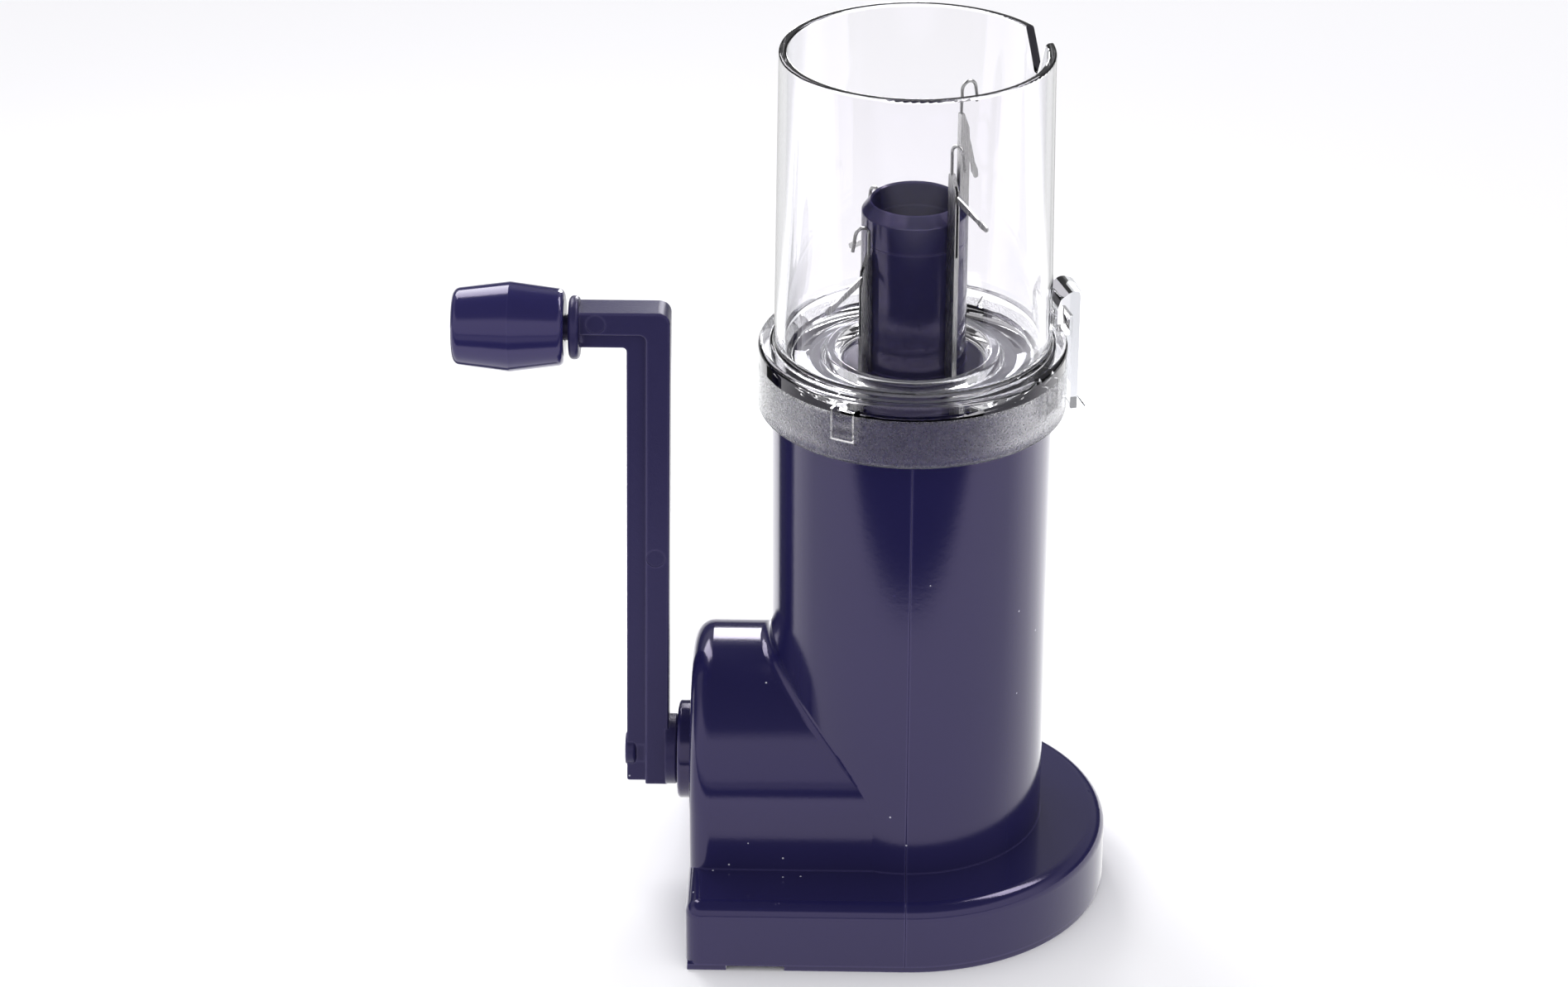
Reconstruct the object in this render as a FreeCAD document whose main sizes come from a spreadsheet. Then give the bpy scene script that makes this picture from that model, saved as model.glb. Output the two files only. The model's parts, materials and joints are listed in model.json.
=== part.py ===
import FreeCAD, Part
import math
import os
from FreeCAD import Placement, Rotation, Vector

# Hand-cranked latch-needle cord mill.  Millimetres, Z up.
# Origin: on the ground under the body tube's axis.  X runs right (the crank is at -X), Y runs back.
os.makedirs("parts", exist_ok=True)
doc = FreeCAD.newDocument("CordMill")
doc.UndoMode = 0

DIMENSIONS = [
    ("body_r", 26.0, "body tube outer radius"),
    ("body_top", 108.8, "top rim of the body tube, seat of the guard"),
    ("wall", 2.0, "moulded wall"),
    ("house_r", 25.2, "gear housing arch radius"),
    ("house_left", 40.9, "gear housing end face, distance from the axis"),
    ("house_round", 4.0, "rounding of the gear housing end"),
    ("junction_round", 2.0, "hollow rounding between the arch and the body tube"),
    ("seam_round", 0.15, "rounding of the outer edges along the joint of the two halves"),
    ("shaft_z", 25.6, "crank shaft height"),
    ("base_r", 38.5, "base outer radius and half depth"),
    ("base_left", 41.1, "base end face, distance from the axis"),
    ("base_top", 14.0, "top of the base"),
    ("base_round", 2.8, "rounding of the base's top edge"),
    ("plate_t", 1.2, "visible rim of the bottom plate"),
    ("plate_in", 2.6, "top of the plate's raised middle"),
    ("guard_top", 169.4, "top rim of the clear guard"),
    ("guard_r_top", 24.7, "clear tube outer radius at the rim"),
    ("guard_r_low", 25.4, "clear tube outer radius at the flange"),
    ("skirt_r", 28.4, "collar skirt outer radius"),
    ("skirt_in", 26.35, "collar skirt inner radius"),
    ("skirt_low", 100.3, "lower edge of the collar skirt"),
    ("flange_top", 113.0, "top of the collar flange"),
    ("floor_hole", 13.4, "hole in the guard floor"),
    ("rotor_r", 9.7, "slim part of the needle cylinder"),
    ("core_r", 13.0, "grooved part of the needle cylinder"),
    ("bore_r", 7.8, "cord bore radius"),
    ("core_top", 109.6, "top of the grooved part"),
    ("cap_low", 133.9, "joint between cylinder and cap"),
    ("cap_top", 141.1, "mouth of the needle cylinder"),
    ("needle_in", 9.95, "needle blade inner radius"),
    ("needle_out", 12.1, "needle blade outer radius"),
    ("needle_t", 1.0, "needle blade thickness"),
    ("cam_in", 14.7, "cam sleeve inner radius"),
    ("cam_out", 17.1, "cam sleeve outer radius"),
    ("gear_s", 18.0, "bevel gears, large end distance from the common apex"),
    ("gear_small", 13.0, "bevel gears, small end distance from the common apex"),
    ("throw_z", 114.6, "knob axis height with the crank up"),
    ("shaft_r", 4.0, "crank shaft radius"),
    ("run_fit", 0.06, "radial clearance of a running fit"),
]
sheet = doc.addObject("Spreadsheet::Sheet", "Dims")
V = {}
for row, (alias, value, note) in enumerate(DIMENSIONS, 1):
    sheet.set("A%d" % row, note)
    sheet.set("B%d" % row, str(value))
    sheet.setAlias("B%d" % row, alias)
    V[alias] = value
doc.recompute()

XZ = Rotation(Vector(1, 0, 0), 90)
YZ = Rotation(Vector(0.57735, 0.57735, 0.57735), 120)
ALONG_X = Rotation(Vector(0, 1, 0), 90)


def place(obj, x=0, y=0, z=0, rot=None):
    obj.Placement = Placement(Vector(x, y, z), rot or Rotation())
    return obj


def bind(obj, **expressions):
    """Tie properties to the dimension sheet; names in the text are sheet aliases."""
    for prop, text in expressions.items():
        for alias in sorted(V, key=len, reverse=True):
            text = text.replace("@" + alias, "<<Dims>>." + alias)
        obj.setExpression(prop.replace("__", "."), text)
    return obj


def cyl(name, r, h, x=0, y=0, z=0, rot=None, **expressions):
    obj = doc.addObject("Part::Cylinder", name)
    obj.Radius = r
    obj.Height = h
    place(obj, x, y, z, rot)
    return bind(obj, **expressions)


def box(name, x0, x1, y0, y1, z0, z1, rot=None, at=None, **expressions):
    obj = doc.addObject("Part::Box", name)
    obj.Length = x1 - x0
    obj.Width = y1 - y0
    obj.Height = z1 - z0
    base = Vector(x0, y0, z0)
    turn = rot or Rotation()
    obj.Placement = Placement(turn.multVec(base) + (at or Vector()), turn)
    return bind(obj, **expressions)


def fuse(name, *parts, refine=True):
    obj = doc.addObject("Part::MultiFuse", name)
    obj.Shapes = list(parts)
    obj.Refine = refine
    return obj


def cut(name, base, tool):
    obj = doc.addObject("Part::Cut", name)
    obj.Base = base
    obj.Tool = tool
    obj.Refine = True
    return obj


def common(name, a, b):
    obj = doc.addObject("Part::MultiCommon", name)
    obj.Shapes = [a, b]
    obj.Refine = True
    return obj


def corners(points):
    """Line and arc pieces of a closed outline; a point may carry a corner radius."""
    pts = [(Vector(p[0], p[1], 0), p[2] if len(p) > 2 else 0.0) for p in points]
    ends = []
    for i, (here, r) in enumerate(pts):
        a = pts[i - 1][0] - here
        b = pts[(i + 1) % len(pts)][0] - here
        a.normalize()
        b.normalize()
        if r == 0:
            ends.append((here, here, None))
            continue
        half = a.getAngle(b) / 2
        run = r / math.tan(half)
        mid = a + b
        mid.normalize()
        top = here + mid * (r / math.sin(half) - r)
        ends.append((here + a * run, here + b * run, top))
    pieces = []
    for i, (start, end, top) in enumerate(ends):
        if top is not None:
            pieces.append(Part.Arc(start, top, end))
        following = ends[(i + 1) % len(ends)][0]
        if end.distanceToPoint(following) > 1e-6:
            pieces.append(Part.LineSegment(end, following))
    return pieces


def sketch(name, points, rot=None, at=None, body=None, plane=None):
    if body is None:
        sk = doc.addObject("Sketcher::SketchObject", name)
        sk.Placement = Placement(at or Vector(), rot or Rotation())
    else:
        sk = body.newObject("Sketcher::SketchObject", name)
        face = [f for f in body.Origin.OriginFeatures if f.Role == plane][0]
        sk.AttachmentSupport = (face, [""])
        sk.MapMode = "FlatFace"
        sk.AttachmentOffset = Placement(at or Vector(), Rotation())
    for piece in corners(points):
        sk.addGeometry(piece, False)
    return sk


def turned(name, points, axis="z", height=0.0):
    """Solid of revolution; points are (radius, z) or, for the x axis, (x, radius)."""
    sk = sketch(name + "Outline", points, XZ, Vector(0, 0, height))
    obj = doc.addObject("Part::Revolution", name)
    obj.Source = sk
    obj.Axis = Vector(0, 0, 1) if axis == "z" else Vector(1, 0, 0)
    obj.Base = Vector(0, 0, height)
    obj.Angle = 360
    obj.Solid = True
    return obj


def slab(name, points, rot, at, length):
    """Outline pushed out along its own normal."""
    sk = sketch(name + "Outline", points, rot, at)
    obj = doc.addObject("Part::Extrusion", name)
    obj.Base = sk
    obj.DirMode = "Normal"
    obj.LengthFwd = length
    obj.Solid = True
    return obj


def rounded(name, base, rule):
    """Edge rounding; rule gives a radius for each edge, or nothing."""
    doc.recompute()
    edges = []
    for i, edge in enumerate(base.Shape.Edges, 1):
        r = rule(edge)
        if r:
            edges.append((i, r, r))
    obj = doc.addObject("Part::Fillet", name)
    obj.Base = base
    obj.Edges = edges
    return obj


def midpoint(edge):
    return edge.valueAt((edge.FirstParameter + edge.LastParameter) / 2)


def spread(edge, axis):
    values = [getattr(v.Point, axis) for v in edge.Vertexes]
    return min(values), max(values)


# ------------------------------------------------------------------ housing
def ground_plan(name, inset, z0, z1, left="base_left", low=None):
    """Straight-ended half and round half of the base, as one solid."""
    r = V["base_r"] - inset
    x = V[left] - inset
    block = box(name + "Block", -x, 0, -r, r, z0, z1)
    bind(block, Length="@base_left - %g" % inset, Width="2 * (@base_r - %g)" % inset)
    disc = cyl(name + "Disc", r, z1 - z0, z=z0, Radius="@base_r - %g" % inset)
    return fuse(name, block, disc)


def arch(name, inset, x0, z0):
    """Arched gear housing outline pushed to the right from x0."""
    r = V["house_r"] - inset
    zs = V["shaft_z"]
    sk = doc.addObject("Sketcher::SketchObject", name + "Outline")
    sk.Placement = Placement(Vector(x0, 0, 0), YZ)
    sk.addGeometry(Part.LineSegment(Vector(-r, zs, 0), Vector(-r, z0, 0)), False)
    sk.addGeometry(Part.LineSegment(Vector(-r, z0, 0), Vector(r, z0, 0)), False)
    sk.addGeometry(Part.LineSegment(Vector(r, z0, 0), Vector(r, zs, 0)), False)
    sk.addGeometry(Part.Arc(Vector(r, zs, 0), Vector(0, zs + r, 0), Vector(-r, zs, 0)), False)
    obj = doc.addObject("Part::Extrusion", name)
    obj.Base = sk
    obj.DirMode = "Normal"
    obj.LengthFwd = -x0
    obj.Solid = True
    return obj


left_x = -V["base_left"]
base_block = ground_plan("BaseBlock", 0, V["plate_t"], V["base_top"])


def base_edge(edge):
    x0, x1 = spread(edge, "x")
    z0, z1 = spread(edge, "z")
    if z1 - z0 > 5 and x1 < left_x + 0.1:
        return 3.0
    if z0 > V["base_top"] - 0.01:
        return V["base_round"]
    return 0


base_solid = rounded("BaseRounded", base_block, base_edge)
arch_block = arch("ArchBlock", 0, -V["house_left"], 8)


def arch_edge(edge):
    x0, x1 = spread(edge, "x")
    z0, z1 = spread(edge, "z")
    return V["house_round"] if x1 < 0.01 - V["house_left"] and z1 > 9 else 0


arch_solid = rounded("ArchRounded", arch_block, arch_edge)
tube = cyl("BodyTube", V["body_r"], V["body_top"] - 8, z=8, Radius="@body_r", Height="@body_top - 8")


def junction_edge(edge):
    """The line where the arch runs into the tube, over the crest and down both flanks."""
    mid = midpoint(edge)
    on_tube = abs(math.hypot(mid.x, mid.y) - V["body_r"]) < 0.05
    return V["junction_round"] if on_tube and abs(mid.z - V["shaft_z"] - V["house_r"]) < 0.3 else 0


outside = rounded("HousingOutside", fuse("HousingBlocks", base_solid, arch_solid, tube), junction_edge)

inset = V["wall"]
hollow_base = ground_plan("BaseHollow", inset, 0, V["base_top"] - inset)
hollow_arch = arch("ArchHollow", inset, inset - V["house_left"], 0)
hollow_tube = cyl("TubeHollow", V["body_r"] - inset, 120, Radius="@body_r - @wall")
inside = fuse("HousingInside", hollow_base, hollow_arch, hollow_tube)
shell = cut("HousingShell", outside, inside)

SCREWS = [(-34.0, -31.0), (-34.0, 31.0), (20.0, -25.0), (20.0, 25.0)]
posts = []
pilots = []
for i, (x, y) in enumerate(SCREWS, 1):
    posts.append(cyl("ScrewPost%d" % i, 3.2, 10.2, x, y, V["plate_in"]))
    pilots.append(cyl("ScrewPilot%d" % i, 1.25, 8.5, x, y, V["plate_in"] - 0.5))
PEGS = [(-33.4, 7.6, 3.6), (33.4, 7.6, 3.6), (-22.2, 33.0, 2.4), (22.2, 33.0, 2.4)]
for i, (y, z, r) in enumerate(PEGS, 1):
    posts.append(cyl("PegPost%d" % i, r, 10, -5, y, z, ALONG_X))
shaft_hole = cyl("ShaftHole", 6.0, 8, -V["house_left"] - 1, 0, V["shaft_z"], ALONG_X)
bind(shaft_hole, Placement__Base__z="@shaft_z")
for angle in (243.3, 333.3, 63.3, 153.3):
    pilots.append(box("FingerPocket%d" % round(angle), 25.3, 27, -2.7, 2.7, 104.7, 106.7,
                      Rotation(Vector(0, 0, 1), angle)))
full = cut("HousingFull", fuse("HousingBosses", shell, *posts), fuse("HousingHoles", shaft_hole, *pilots))
left_space = box("LeftSpace", -60, 0, -60, 60, -5, 130)
right_space = box("RightSpace", 0, 60, -60, 60, -5, 130)
pegs = [cyl("Peg%d" % i, 1.1, 6, -3, y, z, ALONG_X) for i, (y, z, r) in enumerate(PEGS, 1)]
sockets = [cyl("Socket%d" % i, 1.2, 3.4, 0, y, z, ALONG_X) for i, (y, z, r) in enumerate(PEGS, 1)]


def seam_edge(edge):
    """Outer edges along the joint of the halves: their rounding leaves a hairline there."""
    x0, x1 = spread(edge, "x")
    mid = midpoint(edge)
    if max(abs(x0), abs(x1), abs(mid.x)) > 0.01:
        return 0
    above_hollow = mid.z > V["base_top"] - V["wall"] + 0.05
    outer = abs(mid.y) > V["base_r"] - 0.1 or above_hollow and abs(mid.y) > V["body_r"] - 0.1
    return V["seam_round"] if outer else 0


crank_half = rounded("CrankHalf", fuse("CrankHalfPegged", common("CrankHalfShell", full, left_space), *pegs),
                     seam_edge)
round_half = rounded("RoundHalf", cut("RoundHalfSocketed", common("RoundHalfShell", full, right_space),
                                      fuse("Sockets", *sockets)), seam_edge)

# ------------------------------------------------------------------ bottom plate and screws
rim = ground_plan("PlateRim", 0.3, 0, V["plate_t"])
middle = ground_plan("PlateMiddle", 2.4, V["plate_t"], V["plate_in"])
GUIDE_OUT = 7.74
guide = turned("CordGuide", [
    (6.25, 0), (GUIDE_OUT, 0), (GUIDE_OUT, V["plate_in"]), (11.5, V["plate_in"]), (11.5, 4.0), (10.5, 5.0),
    (10.5, 37.35), (GUIDE_OUT, 37.35), (GUIDE_OUT, 61.0, 0.3), (6.25, 61.0, 0.6),
])
plate_cuts = [cyl("GuideSeat", GUIDE_OUT, 8, z=-1)]
for i, (x, y) in enumerate(SCREWS, 1):
    plate_cuts.append(cyl("ScrewWay%d" % i, 1.45, 6, x, y, -1))
    plate_cuts.append(cyl("ScrewSink%d" % i, 2.6, 1.5, x, y, 0))
plate_cuts.append(box("FrontNotch", -33.5, -22.6, -45, -35.2, -1, 0.95))
plate_cuts.append(box("BackNotch", -33.5, -22.6, 35.2, 45, -1, 0.95))
plate = cut("BottomPlate", fuse("PlateSolid", rim, middle), fuse("PlateCuts", *plate_cuts))

screw_parts = []
for i, (x, y) in enumerate(SCREWS, 1):
    head = cyl("ScrewHead%d" % i, 2.4, 1.2, x, y, 0.3)
    shank = cyl("ScrewShank%d" % i, 1.25, 9.2, x, y, 1.4)
    slot_a = box("ScrewSlotA%d" % i, x - 1.5, x + 1.5, y - 0.3, y + 0.3, 0.2, 0.9)
    slot_b = box("ScrewSlotB%d" % i, x - 0.3, x + 0.3, y - 1.5, y + 1.5, 0.2, 0.9)
    screw = fuse("ScrewBlank%d" % i, head, shank)
    screw_parts.append(cut("Screw%d" % i, screw, fuse("ScrewCross%d" % i, slot_a, slot_b)))
screws = doc.addObject("Part::Compound", "PlateScrews")
screws.Links = screw_parts

# ------------------------------------------------------------------ bushing
bushing = turned("ShaftBushing", [
    (-43.8, V["shaft_r"] + V["run_fit"]), (-43.8, 9.5, 0.7), (-V["house_left"], 9.5),
    (-V["house_left"], 6.0), (-36.5, 6.0, 0.4), (-36.5, V["shaft_r"] + V["run_fit"]),
], "x", V["shaft_z"])


# ------------------------------------------------------------------ bevel gears
TEETH = 24
ROOT_SLOPE = math.tan(math.radians(41.6))
TIP_SLOPE = math.tan(math.radians(47.7))


def tooth_ring(phase):
    """Toothed cone about +Z, apex at the origin, opening towards +Z."""
    wires = []
    for s in (V["gear_small"], V["gear_s"]):
        pts = []
        for k in range(TEETH):
            middle_angle = 360.0 * k / TEETH + phase
            for half, slope in ((-4.2, ROOT_SLOPE), (-1.8, TIP_SLOPE), (1.8, TIP_SLOPE), (4.2, ROOT_SLOPE)):
                a = math.radians(middle_angle + half)
                pts.append(Vector(s * slope * math.cos(a), s * slope * math.sin(a), s))
        pts.append(pts[0])
        wires.append(Part.makePolygon(pts))
    return Part.makeLoft(wires, True, True)


def tooth_feature(name, phase, placement):
    obj = doc.addObject("Part::Feature", name)
    obj.Shape = tooth_ring(phase)
    obj.Placement = placement
    return obj


zs = V["shaft_z"]
small = V["gear_small"]
big = V["gear_s"]
drive_teeth = tooth_feature("DriveTeeth", 0, Placement(Vector(0, 0, zs), Rotation(Vector(0, 1, 0), -90)))
drive_blank = turned("DriveBlank", [
    (-small, 0), (-small, 9), (-big, 9), (-big, 14.6), (-20.4, 14.6, 0.5), (-20.4, 6.4), (-22.4, 6.4, 0.5),
    (-22.4, V["shaft_r"]), (-45.9, V["shaft_r"], 0.2), (-45.9, 0),
], "x", zs)
drive_key = box("DriveKey", -52.6, -45.5, -1.9, 1.9, zs - 1.9, zs + 1.9)
drive = fuse("DriveGear", drive_teeth, drive_blank, drive_key)

rotor_teeth = tooth_feature("RotorTeeth", 7.5, Placement(Vector(0, 0, zs), Rotation()))
rotor_hub = cyl("RotorHub", 14.6, 2.4, z=zs + big)
ring_solid = fuse("RotorGearSolid", rotor_teeth, rotor_hub)
ring_bore = cyl("RotorGearBore", 11.0, 12, z=zs + small - 2)
rotor_gear = cut("RotorGear", ring_solid, ring_bore)
gear_top = zs + big + 2.4

# ------------------------------------------------------------------ crank arm and knob
arm_body = doc.addObject("PartDesign::Body", "CrankBody")
web_outline = [
    (-47.6, 19.6), (-46.6, 117.4), (-61.8, 117.4), (-61.8, 111.5), (-52.45, 111.5, 0.8), (-53.75, 19.6, 0.5),
]
rib_outline = [
    (-45.75, 19.3, 0.5), (-44.3, 118.9, 2.2), (-62.0, 118.9), (-62.0, 114.4),
    (-48.85, 114.4, 1.2), (-50.2, 19.3, 0.3),
]
for label, outline, thick in (("Web", web_outline, 4.0), ("Rib", rib_outline, 6.4)):
    sk = sketch(label + "Sketch", outline, body=arm_body, plane="XZ_Plane")
    pad = arm_body.newObject("PartDesign::Pad", label + "Pad")
    pad.Profile = sk
    pad.Length = thick
    pad.Midplane = True
    arm_body.Tip = pad
doc.recompute()
rim = ["Edge%d" % i for i, edge in enumerate(pad.Shape.Edges, 1)
       if abs(abs(midpoint(edge).y) - 3.2) < 0.01 and abs(spread(edge, "y")[0] - spread(edge, "y")[1]) < 0.01]
rib_round = arm_body.newObject("PartDesign::Fillet", "RibRound")
rib_round.Base = (pad, rim)
rib_round.Radius = 0.35
arm_body.Tip = rib_round
doc.recompute()
kz = V["throw_z"]
hub = turned("CrankHub", [(-46.2, 0), (-46.2, 6.8), (-43.95, 6.8, 0.5), (-43.95, 0)], "x", zs)
foot_boss = turned("FootBoss", [(-54.0, 0), (-54.0, 3.1, 0.3), (-51.9, 3.1, 0.8), (-51.9, 0)], "x", zs)
spindle = turned("KnobSpindle", [
    (-60.5, 0), (-60.5, 3.0), (-61.0, 3.0), (-61.0, 5.9, 0.9), (-63.0, 5.9, 0.9), (-63.0, 2.4), (-80.0, 2.4),
    (-80.0, 3.0), (-80.6, 3.0), (-82.2, 2.2), (-82.2, 0),
], "x", kz)
key_way = box("KeyWay", -52.6, -45.5, -1.9, 1.9, zs - 1.9, zs + 1.9)
shaft_seat = cyl("ShaftSeat", V["shaft_r"], 3, -45.9, 0, zs, ALONG_X)
arm_foot = fuse("CrankFoot", fuse("CrankFootBlank", arm_body, hub), foot_boss)
pin_marks = []
for i, (x, z) in enumerate([(-47.6, 68.5), (-58.0, 116.6)], 1):
    pin_marks.append(cyl("EjectorMark%d" % i, 1.8, 0.6, x, -3.05, z, XZ))
arm = cut("CrankArm", fuse("CrankSolid", arm_foot, spindle),
          fuse("CrankCuts", key_way, shaft_seat, *pin_marks))
knob_bore = 2.4 + V["run_fit"]
knob = turned("Knob", [
    (-63.8, knob_bore, 0.3), (-63.8, 7.0, 1.3), (-73.9, 8.35), (-84.4, 7.0, 1.5), (-84.4, 0),
    (-82.7, 0), (-82.7, 3.3), (-79.6, 3.3), (-79.6, knob_bore),
], "x", kz)

# ------------------------------------------------------------------ needle cylinder and cap
rotor_solid = turned("RotorSolid", [
    (V["bore_r"], 37.4, 0.3), (11.0, 37.4), (11.0, gear_top), (V["core_r"], gear_top, 0.4),
    (V["core_r"], V["core_top"], 0.4), (V["rotor_r"], V["core_top"]), (V["rotor_r"], V["cap_low"]),
    (8.75, V["cap_low"]), (8.75, V["cap_low"] + 2.6), (V["bore_r"], V["cap_low"] + 2.6),
])
NEEDLES = [
    ("1", 217.5, 138.6, 121.0),
    ("2", 307.5, 155.3, 110.0),
    ("3", 37.5, 161.1, 163.0),
    ("4", 127.5, 139.4, 118.0),
]
grooves = []
for label, angle, apex, latch in NEEDLES:
    grooves.append(box("NeedleGroove" + label, 9.85, 14, -0.55, 0.55, 60, 120,
                       Rotation(Vector(0, 0, 1), angle)))
rotor = cut("NeedleCylinder", rotor_solid, fuse("NeedleGrooves", *grooves))
cap = turned("NeedleCap", [
    (8.75, V["cap_low"]), (V["rotor_r"], V["cap_low"], 0.15), (V["rotor_r"], 139.0, 0.5),
    (8.1, V["cap_top"]), (V["bore_r"], V["cap_top"] - 0.3), (V["bore_r"], V["cap_low"] + 2.6),
    (8.75, V["cap_low"] + 2.6),
])

# ------------------------------------------------------------------ cams
CAM_PEAK = 2.4
CAM_TILT = math.degrees(math.atan(13.75 / 15.0))


def slant(name, height, above):
    """Big block whose lower (or upper) face is the slanted cam plane."""
    turn = Rotation(Vector(0, 0, 1), CAM_PEAK).multiply(Rotation(Vector(0, 1, 0), -CAM_TILT))
    z0, z1 = (0, 80) if above else (-80, 0)
    return box(name, -60, 60, -60, 60, z0, z1, turn, Vector(0, 0, height))


ci, co = V["cam_in"], V["cam_out"]
ring_r = V["body_r"] - V["wall"]
lower_sleeve = cut("LowerSleeve", turned("LowerSleeveBlank", [(ci, 52), (co, 52), (co, 100), (ci, 100)]),
                   slant("LowerSlant", 75.2, True))
lower_foot = turned("LowerFoot", [(ci, 50), (ring_r, 50), (ring_r, 52.2, 0.3), (co, 52.2), (ci, 52.2)])
lower_cam = fuse("LowerCam", lower_sleeve, lower_foot)
upper_sleeve = cut("UpperSleeve", turned("UpperSleeveBlank", [(ci, 50), (co, 50), (co, 104), (ci, 104)]),
                   slant("UpperSlant", 81.0, False))
upper_head = turned("UpperHead", [
    (V["core_r"] + V["run_fit"], 103.8), (ring_r, 103.8), (ring_r, 107.0, 0.3),
    (V["core_r"] + V["run_fit"], 107.0, 0.3),
])
upper_cam = fuse("UpperCam", upper_sleeve, upper_head)

# ------------------------------------------------------------------ clear guard
gt = V["guard_top"]
ft = V["flange_top"]
low = V["skirt_low"]
so, si = V["skirt_r"], V["skirt_in"]
rt, rl = V["guard_r_top"], V["guard_r_low"]
guard_turned = turned("GuardTurned", [
    (V["floor_hole"], V["body_top"]), (si, V["body_top"]), (si, low, 0.3), (so, low, 0.5),
    (so, ft, 0.9), (rl + 0.1, ft, 0.8), (rt, gt, 0.5), (rt - 1.5, gt, 0.5), (rl - 1.6, 113.6, 1.2),
    (22.2, 111.2, 1.5), (19.0, 110.3, 1.2), (16.9, 110.3, 0.6), (15.9, 111.7, 0.7), (14.3, 111.7, 0.6),
    (V["floor_hole"], 110.3, 0.3),
])
notch = slab("YarnNotch", [
    (5.2, 171), (3.95, 168.9, 0.5), (0.9, 161.7, 0.5), (-0.3, 161.7, 0.5), (-3.6, 168.0, 0.9),
    (-5.4, 169.2), (-5.4, 171),
], Rotation(Vector(0, 0, 1), 22.5).multiply(YZ), Rotation(Vector(0, 0, 1), 22.5).multVec(Vector(20, 0, 0)), 8)
clip = slab("YarnClip", [
    (26.5, 112.2), (26.5, 117.6), (27.1, 119.4, 1.0), (29.4, 121.0, 2.0), (31.9, 120.0, 1.6),
    (32.5, 117.6, 2.0), (32.5, 97.0, 0.3), (29.5, 97.0, 0.3), (29.5, 116.0), (28.9, 116.0), (28.9, 112.2),
], Rotation(Vector(0, 0, 1), 16).multiply(XZ), Rotation(Vector(0, 0, 1), 16).multVec(Vector(0, 3.75, 0)), 7.5)
slits = []
bumps = []
for angle in (243.3, 333.3, 63.3, 153.3):
    turn = Rotation(Vector(0, 0, 1), angle)
    tag = "%d" % round(angle)
    slits.append(box("FingerSlitA" + tag, 25, 30, -2.35, -1.95, 104.3, 110.4, turn))
    slits.append(box("FingerSlitB" + tag, 25, 30, 1.95, 2.35, 104.3, 110.4, turn))
    slits.append(box("FingerSlitC" + tag, 25, 30, -2.35, 2.35, 104.3, 104.7, turn))
    bumps.append(box("FingerBump" + tag, 25.6, 27, -1.9, 1.9, 104.95, 106.3, turn))
guard_cut = cut("GuardCut", guard_turned, fuse("GuardCuts", notch, *slits))
guard = fuse("TopGuard", guard_cut, clip, *bumps)


# ------------------------------------------------------------------ needles
PIVOT_R = 11.35
PIVOT_DROP = 10.2
WIRE = 0.32


def needle(label, angle, apex):
    """Flat blade in a radial plane with a bent wire hook that opens outwards."""
    turn = Rotation(Vector(0, 0, 1), angle)
    n_in, n_out, t = V["needle_in"], V["needle_out"], V["needle_t"]
    hook_in = n_in + 0.4
    hook_out = hook_in + 3.1
    crown = apex - WIRE - 1.55
    blade = slab("Blade" + label, [
        (n_in, apex - 73.5), (n_out, apex - 73.5), (n_out, apex - 72.0), (14.2, apex - 72.0, 0.4),
        (14.2, apex - 69.0, 0.4), (n_out, apex - 69.0), (n_out, apex - 11.8), (n_out - 0.2, apex - 9.0),
        (hook_in + 0.34, apex - 6.0), (hook_in - 0.34, apex - 6.0), (n_in, apex - 8.5),
    ], turn.multiply(XZ), turn.multVec(Vector(0, t / 2, 0)), t)
    bow = (hook_out - hook_in) / 2
    lean = math.radians(10)

    def on_bow(turned_by):
        return Vector(hook_in + bow - bow * math.cos(turned_by), 0, crown + bow * math.sin(turned_by))

    tip = on_bow(math.pi - lean)
    path = [
        Part.LineSegment(Vector(hook_in, 0, apex - 7.5), Vector(hook_in, 0, crown)),
        Part.Arc(Vector(hook_in, 0, crown), on_bow(math.pi / 2), tip),
        Part.LineSegment(tip, tip + Vector(math.sin(lean), 0, -math.cos(lean)) * 2.9),
    ]
    wire = Part.Wire([p.toShape() for p in path])
    profile = Part.Wire(Part.Circle(Vector(hook_in, 0, apex - 7.5), Vector(0, 0, 1), WIRE).toShape())
    hook = doc.addObject("Part::Feature", "Hook" + label)
    hook.Shape = wire.makePipeShell([profile], True, True)
    hook.Placement = Placement(Vector(), turn)
    z = apex - PIVOT_DROP
    slot = box("LatchSlot" + label, 10.55, 15, -0.23, 0.23, z - 11.5, z + 2.2, turn)
    hole = cyl("PinHole" + label, 0.36, 2, rot=turn.multiply(Rotation(Vector(1, 0, 0), 90)))
    hole.Placement.Base = turn.multVec(Vector(PIVOT_R, 1, z))
    body = fuse("NeedleBlank" + label, blade, hook)
    return cut("Needle" + label, body, fuse("NeedleCuts" + label, slot, hole))


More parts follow.
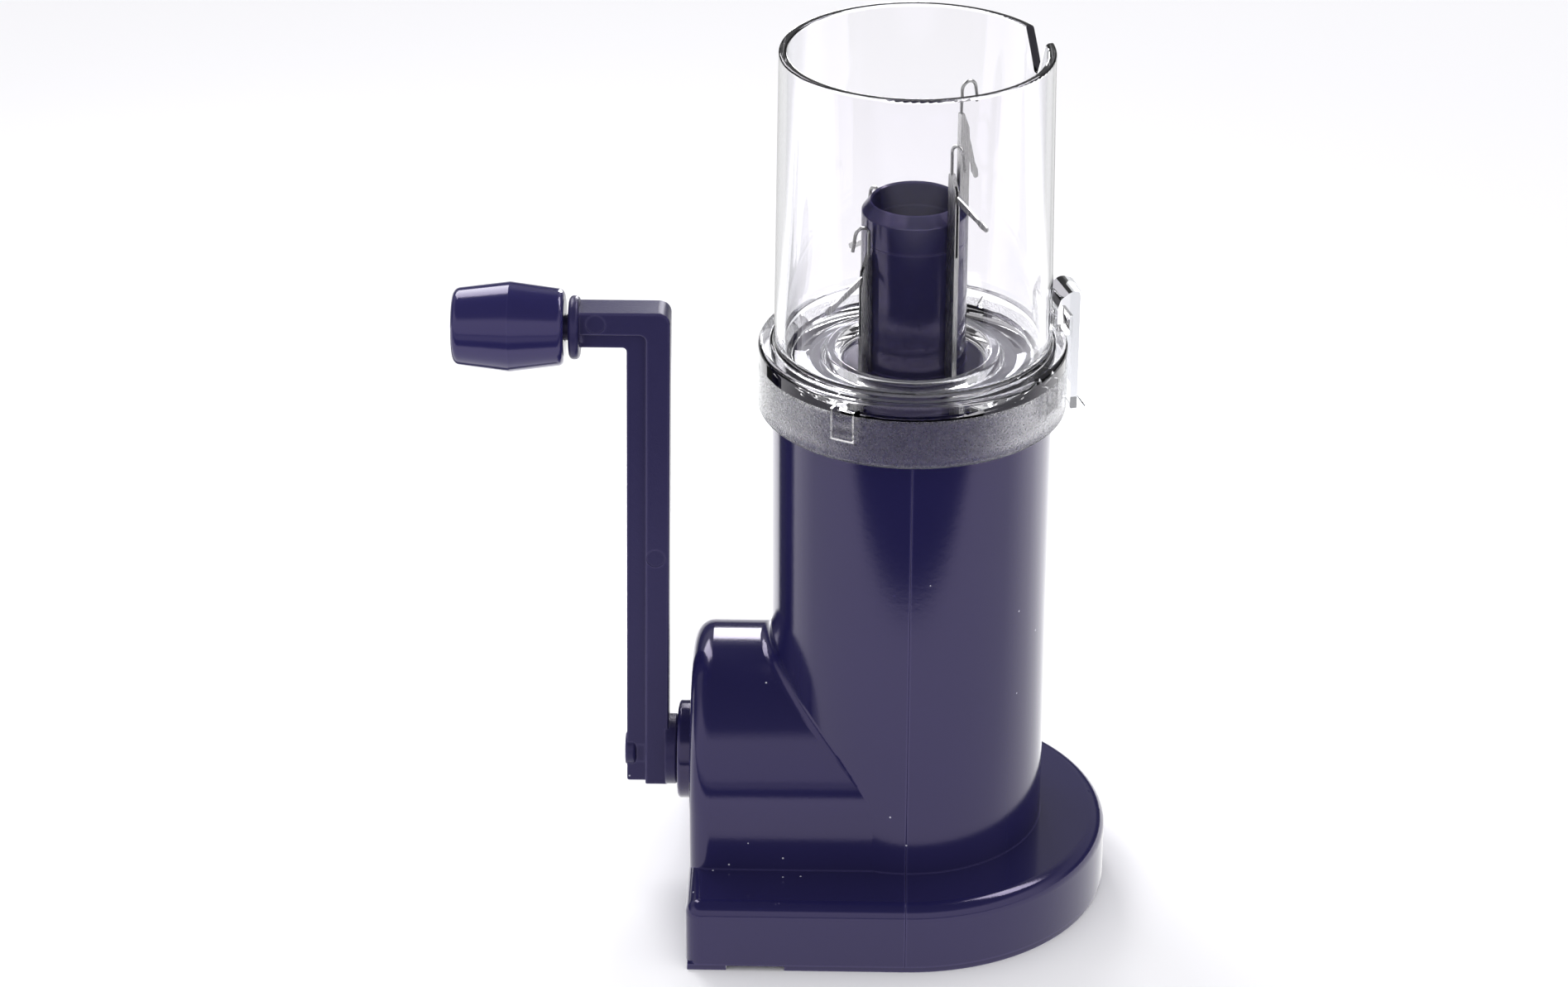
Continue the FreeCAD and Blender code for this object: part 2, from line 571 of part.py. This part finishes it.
def latch(label, angle, apex, swing):
    """Spoon-ended latch on its pin; swing is measured from straight up, outwards."""
    turn = Rotation(Vector(0, 0, 1), angle)
    at = turn.multVec(Vector(PIVOT_R, 0, apex - PIVOT_DROP))
    pose = turn.multiply(Rotation(Vector(0, 1, 0), swing))
    outline = [
        (-0.58, -0.5, 0.45), (0.58, -0.5, 0.45), (0.62, 3.0, 2.0), (0.42, 6.6, 2.0),
        (0.66, 8.0, 0.5), (0.42, 9.6, 0.35), (-0.42, 9.6, 0.35), (-0.66, 8.0, 0.5), (-0.42, 6.6, 2.0),
        (-0.62, 3.0, 2.0),
    ]
    lift = pose.multVec(Vector(0, 0.18, 0))
    body = slab("LatchBlank" + label, outline, pose.multiply(XZ), at + lift, 0.36)
    axis = pose.multiply(Rotation(Vector(1, 0, 0), 90))
    hole = cyl("LatchHole" + label, 0.42, 2, rot=axis)
    hole.Placement.Base = at + pose.multVec(Vector(0, 1, 0))
    return cut("Latch" + label, body, hole)


def pin(label, angle, apex):
    turn = Rotation(Vector(0, 0, 1), angle)
    obj = cyl("LatchPin" + label, 0.36, V["needle_t"], rot=turn.multiply(Rotation(Vector(1, 0, 0), 90)))
    obj.Placement.Base = turn.multVec(Vector(PIVOT_R, V["needle_t"] / 2, apex - PIVOT_DROP))
    return obj


PARTS = {
    "housing_crank_half": crank_half,
    "housing_round_half": round_half,
    "bottom_plate": plate,
    "cord_guide": guide,
    "plate_screws": screws,
    "shaft_bushing": bushing,
    "drive_gear": drive,
    "crank_arm": arm,
    "knob": knob,
    "needle_cylinder": rotor,
    "rotor_gear": rotor_gear,
    "needle_cap": cap,
    "lower_cam": lower_cam,
    "upper_cam": upper_cam,
    "top_guard": guard,
}
for label, angle, apex, swing in NEEDLES:
    PARTS["needle_" + label] = needle(label, angle, apex)
    PARTS["latch_" + label] = latch(label, angle, apex, swing)
    PARTS["latch_pin_" + label] = pin(label, angle, apex)
doc.recompute()

for obj in doc.Objects:
    if "Invalid" in obj.State or "Error" in obj.State:
        raise RuntimeError("feature failed: " + obj.Name)
for node, obj in PARTS.items():
    shape = obj.Shape
    if shape.isNull() or not shape.isValid() or not shape.Solids:
        raise RuntimeError("bad shape: " + node)
    shape.exportStep("parts/%s.step" % node)
    size = shape.BoundBox
    print("%-20s solids %d  x %.2f..%.2f  y %.2f..%.2f  z %.2f..%.2f  vol %.1f" % (
        node, len(shape.Solids), size.XMin, size.XMax, size.YMin, size.YMax, size.ZMin, size.ZMax, shape.Volume))
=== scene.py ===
import bpy
import json
import math
from mathutils import Matrix, Vector

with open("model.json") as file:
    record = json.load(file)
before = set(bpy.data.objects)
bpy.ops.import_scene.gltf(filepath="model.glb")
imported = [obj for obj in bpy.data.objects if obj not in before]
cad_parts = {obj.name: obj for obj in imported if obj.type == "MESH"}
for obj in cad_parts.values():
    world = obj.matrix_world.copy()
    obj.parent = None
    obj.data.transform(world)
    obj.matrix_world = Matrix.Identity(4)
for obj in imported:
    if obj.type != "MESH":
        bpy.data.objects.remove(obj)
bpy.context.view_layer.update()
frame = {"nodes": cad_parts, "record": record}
NODES = frame["nodes"]


# ------------------------------------------------------------------ materials
def material(name):
    mat = bpy.data.materials.new(name)
    mat.use_nodes = True
    nodes = mat.node_tree.nodes
    links = mat.node_tree.links
    return mat, nodes, links, nodes["Principled BSDF"]


def math_node(nodes, links, operation, first, second=None, third=None, clamp=False):
    node = nodes.new("ShaderNodeMath")
    node.operation = operation
    node.use_clamp = clamp
    for socket, value in zip(node.inputs, (first, second, third)):
        if value is None:
            continue
        if isinstance(value, (int, float)):
            socket.default_value = value
        else:
            links.new(value, socket)
    return node.outputs[0]


def between(nodes, links, source, low, high):
    """1 where low < source < high, else 0."""
    above = math_node(nodes, links, "GREATER_THAN", source, low)
    below = math_node(nodes, links, "LESS_THAN", source, high)
    return math_node(nodes, links, "MULTIPLY", above, below)


def map_range(nodes, links, source, from_range, to_range):
    node = nodes.new("ShaderNodeMapRange")
    for name, value in zip(("From Min", "From Max", "To Min", "To Max"), (*from_range, *to_range)):
        node.inputs[name].default_value = value
    links.new(source, node.inputs["Value"])
    return node


def colour_mix(nodes, links, factor, first, second):
    """Blend a linked colour towards a fixed one."""
    node = nodes.new("ShaderNodeMix")
    node.data_type = "RGBA"
    node.inputs["B"].default_value = (*second, 1)
    links.new(first, node.inputs["A"])
    links.new(factor, node.inputs["Factor"])
    return node.outputs["Result"]


def bump_normal(nodes, links, height, distance, bsdf):
    bump = nodes.new("ShaderNodeBump")
    bump.inputs["Strength"].default_value = 1.0
    bump.inputs["Distance"].default_value = distance
    links.new(height, bump.inputs["Height"])
    links.new(bump.outputs["Normal"], bsdf.inputs["Normal"])


def placed_group(nodes, tree, input_name, value):
    node = nodes.new("ShaderNodeGroup")
    node.node_tree = tree
    node.inputs[input_name].default_value = value
    return node


FLECK_CELLS = 300.0
FLECK_SIZE = 0.055
CLOUD_SCALE = 35.0
EDGE_COSINES = (0.995, 0.92)


def speckle_group():
    """Sparse pale dust: 1 on a fleck, 0 elsewhere, plus a slow soft variation."""
    tree = bpy.data.node_groups.new("DustAndCloud", "ShaderNodeTree")
    tree.interface.new_socket("Density", in_out="INPUT", socket_type="NodeSocketFloat")
    tree.interface.new_socket("Dust", in_out="OUTPUT", socket_type="NodeSocketFloat")
    tree.interface.new_socket("Cloud", in_out="OUTPUT", socket_type="NodeSocketFloat")
    nodes, links = tree.nodes, tree.links
    gin = nodes.new("NodeGroupInput")
    gout = nodes.new("NodeGroupOutput")
    coord = nodes.new("ShaderNodeTexCoord")
    cells = nodes.new("ShaderNodeTexVoronoi")
    cells.inputs["Scale"].default_value = FLECK_CELLS
    links.new(coord.outputs["Object"], cells.inputs["Vector"])
    near = math_node(nodes, links, "LESS_THAN", cells.outputs["Distance"], FLECK_SIZE)
    split = nodes.new("ShaderNodeSeparateColor")
    links.new(cells.outputs["Color"], split.inputs[0])
    rare = math_node(nodes, links, "LESS_THAN", split.outputs[0], gin.outputs["Density"])
    links.new(math_node(nodes, links, "MULTIPLY", near, rare), gout.inputs["Dust"])
    slow = nodes.new("ShaderNodeTexNoise")
    slow.inputs["Scale"].default_value = CLOUD_SCALE
    slow.inputs["Detail"].default_value = 3.0
    links.new(coord.outputs["Object"], slow.inputs["Vector"])
    links.new(slow.outputs["Fac"], gout.inputs["Cloud"])
    return tree


DUST = speckle_group()


def grain_group():
    """Fine spark-eroded grain as a height."""
    tree = bpy.data.node_groups.new("FineGrain", "ShaderNodeTree")
    tree.interface.new_socket("Scale", in_out="INPUT", socket_type="NodeSocketFloat")
    tree.interface.new_socket("Height", in_out="OUTPUT", socket_type="NodeSocketFloat")
    nodes, links = tree.nodes, tree.links
    gin = nodes.new("NodeGroupInput")
    gout = nodes.new("NodeGroupOutput")
    coord = nodes.new("ShaderNodeTexCoord")
    noise = nodes.new("ShaderNodeTexNoise")
    noise.inputs["Detail"].default_value = 4.0
    noise.inputs["Roughness"].default_value = 0.7
    links.new(coord.outputs["Object"], noise.inputs["Vector"])
    links.new(gin.outputs["Scale"], noise.inputs["Scale"])
    links.new(noise.outputs["Fac"], gout.inputs["Height"])
    return tree


GRAIN = grain_group()


def edge_group():
    """1 along sharp edges and inside corners, 0 on open faces."""
    tree = bpy.data.node_groups.new("EdgeLight", "ShaderNodeTree")
    tree.interface.new_socket("Width", in_out="INPUT", socket_type="NodeSocketFloat")
    tree.interface.new_socket("Edge", in_out="OUTPUT", socket_type="NodeSocketFloat")
    nodes, links = tree.nodes, tree.links
    gin = nodes.new("NodeGroupInput")
    gout = nodes.new("NodeGroupOutput")
    bevel = nodes.new("ShaderNodeBevel")
    bevel.samples = 4
    links.new(gin.outputs["Width"], bevel.inputs["Radius"])
    flat = nodes.new("ShaderNodeNewGeometry")
    dot = nodes.new("ShaderNodeVectorMath")
    dot.operation = "DOT_PRODUCT"
    links.new(bevel.outputs["Normal"], dot.inputs[0])
    links.new(flat.outputs["Normal"], dot.inputs[1])
    edge = map_range(nodes, links, dot.outputs["Value"], EDGE_COSINES, (0.0, 1.0))
    links.new(edge.outputs[0], gout.inputs["Edge"])
    return tree


EDGES = edge_group()
SHEEN_TINT = (0.80, 0.70, 1.0, 1)
EDGE_WIDTH = 0.0006
DUST_COLOUR = (0.5, 0.5, 0.58)
PLASTIC_IOR = 1.56


def moulded(name, dark, light, dust, roughness, grain_scale, grain_depth, shine=0.5):
    """Moulded plastic: slight colour cloud, a few dust flecks, the tool's surface grain, and a painted
    highlight along sharp edges and inside corners.
    """
    mat, nodes, links, bsdf = material(name)
    flecks = placed_group(nodes, DUST, "Density", dust)
    ramp = nodes.new("ShaderNodeValToRGB")
    ramp.color_ramp.elements[0].position = 0.35
    ramp.color_ramp.elements[0].color = (*dark, 1)
    ramp.color_ramp.elements[1].position = 0.7
    ramp.color_ramp.elements[1].color = (*light, 1)
    links.new(flecks.outputs["Cloud"], ramp.inputs[0])
    # Painted highlight: sharp edges and inside corners are painted brighter than the face colour.
    edges = placed_group(nodes, EDGES, "Width", EDGE_WIDTH)
    edge_highlight_colour = (3.2 * light[0], 3.2 * light[1], 1.9 * light[2])
    edge_highlighted = colour_mix(nodes, links, edges.outputs["Edge"], ramp.outputs[0], edge_highlight_colour)
    dusty = colour_mix(nodes, links, flecks.outputs["Dust"], edge_highlighted, DUST_COLOUR)
    links.new(dusty, bsdf.inputs["Base Color"])
    grain = placed_group(nodes, GRAIN, "Scale", grain_scale)
    bump_normal(nodes, links, grain.outputs["Height"], grain_depth, bsdf)
    bsdf.inputs["Roughness"].default_value = roughness
    bsdf.inputs["IOR"].default_value = PLASTIC_IOR
    bsdf.inputs["Specular IOR Level"].default_value = shine
    bsdf.inputs["Specular Tint"].default_value = SHEEN_TINT
    return mat


PURPLE = moulded("GlossAubergine", (0.0118, 0.0108, 0.056), (0.0135, 0.0120, 0.060), dust=0.11,
                 roughness=0.13, grain_scale=900, grain_depth=0.00001)
SATIN = moulded("SatinAubergine", (0.0158, 0.0143, 0.062), (0.0190, 0.0170, 0.069), dust=0.06,
                roughness=0.34, grain_scale=1800, grain_depth=0.00004, shine=0.28)
KNOB = moulded("KnobAubergine", (0.0180, 0.0160, 0.078), (0.0215, 0.0190, 0.088), dust=0.11,
               roughness=0.15, grain_scale=900, grain_depth=0.00001)
INNER = moulded("GreyPlastic", (0.24, 0.25, 0.26), (0.30, 0.31, 0.32), dust=0.0,
                roughness=0.4, grain_scale=1500, grain_depth=0.00002)


STEEL_LINE_SCALE = 9000.0
STEEL_LINE_STRETCH = (1.0, 1.0, 0.02)
STEEL_ROUGHNESS = (0.16, 0.36)


def bright_steel():
    """Drawn wire and stamped strip: fine lines along the needle, slight roughness change."""
    mat, nodes, links, bsdf = material("BrightSteel")
    coord = nodes.new("ShaderNodeTexCoord")
    squash = nodes.new("ShaderNodeMapping")
    squash.inputs["Scale"].default_value = STEEL_LINE_STRETCH
    links.new(coord.outputs["Object"], squash.inputs["Vector"])
    lines = nodes.new("ShaderNodeTexNoise")
    lines.inputs["Scale"].default_value = STEEL_LINE_SCALE
    lines.inputs["Detail"].default_value = 2.0
    links.new(squash.outputs[0], lines.inputs["Vector"])
    rough = map_range(nodes, links, lines.outputs["Fac"], (0.0, 1.0), STEEL_ROUGHNESS)
    links.new(rough.outputs[0], bsdf.inputs["Roughness"])
    tone = nodes.new("ShaderNodeValToRGB")
    tone.color_ramp.elements[0].color = (0.20, 0.20, 0.205, 1)
    tone.color_ramp.elements[1].color = (0.55, 0.55, 0.55, 1)
    links.new(lines.outputs["Fac"], tone.inputs[0])
    links.new(tone.outputs[0], bsdf.inputs["Base Color"])
    bsdf.inputs["Metallic"].default_value = 1.0
    return mat


# Zones of the clear guard: heights (low, high) and distances from its axis (inner, outer), in metres.
SKIRT_Z = (0.1005, 0.1098)
SKIRT_R = (0.0281, 0.0286)
BEAD_Z = (0.09, 0.1008)
BEAD_R = (0.0265, 0.0287)
DISH_Z = (0.1110, 0.1160)
DISH_R = (0.0120, 0.0238)
CLIP_FROM_R = 0.0291
SKIRT_GRAIN_SCALE = 2100.0
SKIRT_GRAIN_DEPTH = 0.0004
BEAD_FROST = 5.0
CLEAR_ROUGHNESS = (0.02, 0.16)
CLEAR_IOR = 1.46


def guard_zones(nodes, links):
    """Masks of the grained skirt, the bead below it, the floor's low rings and the yarn clip."""
    coord = nodes.new("ShaderNodeTexCoord")
    axes = nodes.new("ShaderNodeSeparateXYZ")
    links.new(coord.outputs["Object"], axes.inputs[0])
    flat = nodes.new("ShaderNodeCombineXYZ")
    links.new(axes.outputs["X"], flat.inputs[0])
    links.new(axes.outputs["Y"], flat.inputs[1])
    length = nodes.new("ShaderNodeVectorMath")
    length.operation = "LENGTH"
    links.new(flat.outputs[0], length.inputs[0])
    height, radius = axes.outputs["Z"], length.outputs["Value"]

    def zone(heights, radii):
        in_height = between(nodes, links, height, *heights)
        in_radius = between(nodes, links, radius, *radii)
        return math_node(nodes, links, "MULTIPLY", in_height, in_radius)

    clip = math_node(nodes, links, "GREATER_THAN", radius, CLIP_FROM_R)
    return zone(SKIRT_Z, SKIRT_R), zone(BEAD_Z, BEAD_R), zone(DISH_Z, DISH_R), clip


def clear_plastic():
    """Clear moulding, greyer at grazing angles, finely grained on the collar's skirt, with painted shade
    greying the floor's low rings.
    """
    mat, nodes, links, bsdf = material("ClearPlastic")
    skirt, bead, dish, clip = guard_zones(nodes, links)
    grain = placed_group(nodes, GRAIN, "Scale", SKIRT_GRAIN_SCALE)
    flecks = map_range(nodes, links, grain.outputs["Height"], (0.47, 0.58), (0.2, 2.1))
    spotted = math_node(nodes, links, "MULTIPLY", skirt, flecks.outputs[0])
    frosted = math_node(nodes, links, "MULTIPLY", bead, BEAD_FROST)
    roughened = math_node(nodes, links, "ADD", spotted, frosted)
    rough = map_range(nodes, links, roughened, (0.0, 1.0), CLEAR_ROUGHNESS)
    rough.clamp = False
    links.new(rough.outputs[0], bsdf.inputs["Roughness"])
    height = math_node(nodes, links, "MULTIPLY", grain.outputs["Height"], skirt)
    bump_normal(nodes, links, height, SKIRT_GRAIN_DEPTH, bsdf)
    edge = nodes.new("ShaderNodeLayerWeight")
    edge.inputs["Blend"].default_value = 0.5
    tone = nodes.new("ShaderNodeValToRGB")
    tone.color_ramp.elements[0].position = 0.30
    tone.color_ramp.elements[0].color = (0.985, 0.975, 1.0, 1)
    tone.color_ramp.elements[1].color = (0.60, 0.62, 0.635, 1)
    links.new(edge.outputs["Facing"], tone.inputs[0])
    # Painted shade: the floor's low rings are painted grey for the dim inside below the guard's floor.
    dish_shaded = colour_mix(nodes, links, dish, tone.outputs[0], (0.86, 0.87, 0.88))
    tinted = colour_mix(nodes, links, clip, dish_shaded, (0.74, 0.75, 0.78))
    links.new(tinted, bsdf.inputs["Base Color"])
    bsdf.inputs["Specular Tint"].default_value = (0.86, 0.82, 1.0, 1)
    bsdf.inputs["Transmission Weight"].default_value = 1.0
    bsdf.inputs["IOR"].default_value = CLEAR_IOR
    return mat


STEEL = bright_steel()
CLEAR = clear_plastic()
SLOT_MATERIAL = {"housing": PURPLE, "inner_plastic": INNER, "clear": CLEAR, "steel": STEEL}
NODE_MATERIAL = {"crank_arm": SATIN, "knob": KNOB}
for part in frame["record"]["subparts"]:
    obj = NODES[part["node"]]
    obj.data.materials.clear()
    finish = NODE_MATERIAL.get(part["node"], SLOT_MATERIAL[part["material_slot"]])
    obj.data.materials.append(finish)

# ------------------------------------------------------------------ stage and lights
TABLE_EDGE_Y = -0.158
FLOOR_SIZE = 6.0
FLOOR_COLOUR = (0.955, 0.95, 0.98, 1)
WEDGE_FROM = (-0.0235, -0.011)
WEDGE_SLOPES = (0.86, 1.75)
WEDGE_DEPTHS = (0.03, 0.20)
WEDGE_LIGHT = 0.03
CLEAR_EDGE_GREY = 0.15
CLEAR_DEEP_GREY = 0.8


def mirror_only(nodes, links):
    """1 once a surface has mirrored the ray, 0 for the view itself, soft light and light through glass."""
    path = nodes.new("ShaderNodeLightPath")
    mirrored = math_node(nodes, links, "GREATER_THAN", path.outputs["Glossy Depth"], 0.5)
    not_soft = math_node(nodes, links, "LESS_THAN", path.outputs["Diffuse Depth"], 0.5)
    return math_node(nodes, links, "MULTIPLY", mirrored, not_soft)


def inside_clear(nodes, links):
    """Soft grey for light that bounced inside the clear walls, so their edges stay pale."""
    path = nodes.new("ShaderNodeLightPath")
    walls = path.outputs["Transmission Depth"]
    one_wall = math_node(nodes, links, "MULTIPLY", between(nodes, links, walls, 1.5, 2.5), CLEAR_EDGE_GREY)
    many_walls = math_node(nodes, links, "GREATER_THAN", walls, 4.5)
    many_walls = math_node(nodes, links, "MULTIPLY", many_walls, CLEAR_DEEP_GREY)
    return math_node(nodes, links, "ADD", one_wall, many_walls)


def ramp_node(nodes, links, source, stops):
    """Brightness steps along a 0 to 1 value: (position, brightness) pairs."""
    node = nodes.new("ShaderNodeValToRGB")
    elements = node.color_ramp.elements
    elements[0].position, elements[0].color = stops[0][0], (*[stops[0][1]] * 3, 1)
    elements[1].position, elements[1].color = stops[-1][0], (*[stops[-1][1]] * 3, 1)
    for place, value in stops[1:-1]:
        elements.new(place).color = (value, value, value, 1)
    links.new(source, node.inputs[0])
    return node.outputs[0]


def pale_floor():
    """White sweep; in reflections it glows with a painted pattern that ends at a table edge, with a dark
    wedge behind on the left.
    """
    bpy.ops.object.select_all(action="DESELECT")
    bpy.ops.mesh.primitive_plane_add(size=FLOOR_SIZE, location=(0, 0, 0))
    floor = bpy.context.object
    floor.name = "floor"
    mat, nodes, links, bsdf = material("PaleFloor")
    bsdf.inputs["Base Color"].default_value = FLOOR_COLOUR
    bsdf.inputs["Roughness"].default_value = 0.7
    bsdf.inputs["Specular IOR Level"].default_value = 0.1
    coord = nodes.new("ShaderNodeTexCoord")
    axes = nodes.new("ShaderNodeSeparateXYZ")
    links.new(coord.outputs["Object"], axes.inputs[0])
    # The ramp's 0 to 1 runs from 0.5 m in front of the mill's axis to 0.5 m behind it.
    depth = math_node(nodes, links, "ADD", axes.outputs["Y"], 0.5)
    shade = ramp_node(nodes, links, depth, [
        (0.0, 0.7), (0.11, 0.7), (0.14, 0.05), (0.5 + TABLE_EDGE_Y - 0.003, 0.01),
        (0.5 + TABLE_EDGE_Y + 0.003, 1.5), (0.47, 1.2), (0.6, 2.1), (0.72, 2.1), (0.75, 0.95), (1.0, 0.95),
    ])
    aside = math_node(nodes, links, "SUBTRACT", WEDGE_FROM[0], axes.outputs["X"])
    back = math_node(nodes, links, "SUBTRACT", axes.outputs["Y"], WEDGE_FROM[1])
    slope = math_node(nodes, links, "DIVIDE", aside, back)
    wedge_sides = between(nodes, links, slope, *WEDGE_SLOPES)
    wedge_ends = between(nodes, links, back, *WEDGE_DEPTHS)
    wedge = math_node(nodes, links, "MULTIPLY", wedge_sides, wedge_ends)
    lit = math_node(nodes, links, "MAXIMUM", math_node(nodes, links, "SUBTRACT", 1.0, wedge), WEDGE_LIGHT)
    dimmed = nodes.new("ShaderNodeMix")
    dimmed.data_type = "RGBA"
    dimmed.blend_type = "MULTIPLY"
    dimmed.inputs["Factor"].default_value = 1.0
    links.new(shade, dimmed.inputs["A"])
    links.new(lit, dimmed.inputs["B"])
    shade = math_node(nodes, links, "MAXIMUM", dimmed.outputs["Result"], inside_clear(nodes, links))
    # Painted reflection: mirrored rays see this glow in place of the floor's own shading.
    glow = nodes.new("ShaderNodeEmission")
    links.new(shade, glow.inputs["Color"])
    mix = nodes.new("ShaderNodeMixShader")
    links.new(mirror_only(nodes, links), mix.inputs[0])
    links.new(bsdf.outputs[0], mix.inputs[1])
    links.new(glow.outputs[0], mix.inputs[2])
    links.new(mix.outputs[0], nodes["Material Output"].inputs["Surface"])
    floor.data.materials.append(mat)


def studio_world():
    """Even white light; reflections see a dark ceiling, a grey room in front and white panels."""
    world = bpy.data.worlds.new("StudioWorld")
    bpy.context.scene.world = world
    world.use_nodes = True
    nodes, links = world.node_tree.nodes, world.node_tree.links
    even = nodes["Background"]
    even.inputs["Color"].default_value = (1, 1, 1, 1)
    even.inputs["Strength"].default_value = 1.0
    coord = nodes.new("ShaderNodeTexCoord")
    axes = nodes.new("ShaderNodeSeparateXYZ")
    links.new(coord.outputs["Generated"], axes.inputs[0])
    height = math_node(nodes, links, "MULTIPLY_ADD", axes.outputs["Z"], 0.5, 0.5)
    front = ramp_node(nodes, links, height, [
        (0.0, 0.01), (0.495, 0.01), (0.51, 1.1), (0.80, 1.2), (0.86, 0.16), (1.0, 0.08),
    ])
    behind = ramp_node(nodes, links, height, [
        (0.0, 0.05), (0.5, 0.05), (0.63, 0.10), (0.68, 0.45), (0.82, 0.45), (0.88, 0.08), (1.0, 0.08),
    ])
    side = math_node(nodes, links, "MULTIPLY_ADD", axes.outputs["Y"], 2.5, 0.5, clamp=True)
    blend = nodes.new("ShaderNodeMix")
    blend.data_type = "RGBA"
    links.new(side, blend.inputs["Factor"])
    links.new(front, blend.inputs["A"])
    links.new(behind, blend.inputs["B"])
    mirrored = nodes.new("ShaderNodeBackground")
    seen = math_node(nodes, links, "MAXIMUM", blend.outputs["Result"], inside_clear(nodes, links))
    links.new(seen, mirrored.inputs["Color"])
    mirrored.inputs["Strength"].default_value = 1.0
    mix = nodes.new("ShaderNodeMixShader")
    links.new(mirror_only(nodes, links), mix.inputs[0])
    links.new(even.outputs[0], mix.inputs[1])
    links.new(mirrored.outputs[0], mix.inputs[2])
    links.new(mix.outputs[0], nodes["World Output"].inputs["Surface"])


def softbox(name, at, towards, wide, tall, radiance):
    """Rectangular soft light whose face has the given brightness."""
    data = bpy.data.lights.new(name, "AREA")
    data.shape = "RECTANGLE"
    data.size = wide
    data.size_y = tall
    data.energy = radiance * math.pi * wide * tall
    lamp = bpy.data.objects.new(name, data)
    lamp.location = at
    lamp.rotation_euler = (Vector(towards) - Vector(at)).to_track_quat("-Z", "Y").to_euler()
    lamp.visible_camera = False
    bpy.context.scene.collection.objects.link(lamp)
    return lamp


scene = bpy.context.scene
scene.view_settings.view_transform = "Standard"
pale_floor()
studio_world()
softbox("low_back_softbox", (-0.022, 0.20, 0.151), (-0.022, 0.0, 0.076), 0.055, 0.082, 12.0)
softbox("left_back_softbox", (-0.160, 0.20, 0.305), (-0.08, 0.0, 0.10), 0.13, 0.17, 7.0)
right_strip = softbox("right_top_softbox", (0.135, 0.115, 0.34), (0.02, -0.025, 0.015), 0.21, 0.10, 9.0)
right_strip.visible_diffuse = False

# ------------------------------------------------------------------ camera
SENSOR_WIDTH = 36.0
FOCAL_LENGTH = 97.3614776
CAMERA_AIM = Vector((-0.02359, 0.0, 0.08092))
CAMERA_DISTANCE = 0.79218
CAMERA_AZIMUTH = math.radians(1.23)
CAMERA_ELEVATION = math.radians(26.89)
CAMERA_ROLL = math.radians(0.09)


def front_camera():
    """Long lens in front of the mill, looking down on it, with a trace of roll."""
    data = bpy.data.cameras.new("camera")
    data.sensor_fit = "HORIZONTAL"
    data.sensor_width = SENSOR_WIDTH
    data.lens = FOCAL_LENGTH
    data.clip_start = 0.01
    camera = bpy.data.objects.new("camera", data)
    scene.collection.objects.link(camera)
    back = Vector((math.sin(CAMERA_AZIMUTH) * math.cos(CAMERA_ELEVATION),
                   -math.cos(CAMERA_AZIMUTH) * math.cos(CAMERA_ELEVATION),
                   math.sin(CAMERA_ELEVATION)))
    level_right = (-back).cross(Vector((0, 0, 1))).normalized()
    level_up = level_right.cross(-back)
    right = level_right * math.cos(CAMERA_ROLL) + level_up * math.sin(CAMERA_ROLL)
    up = level_up * math.cos(CAMERA_ROLL) - level_right * math.sin(CAMERA_ROLL)
    turn = Matrix((right, up, back)).transposed().to_4x4()
    camera.matrix_world = Matrix.Translation(CAMERA_AIM + back * CAMERA_DISTANCE) @ turn
    scene.camera = camera


front_camera()
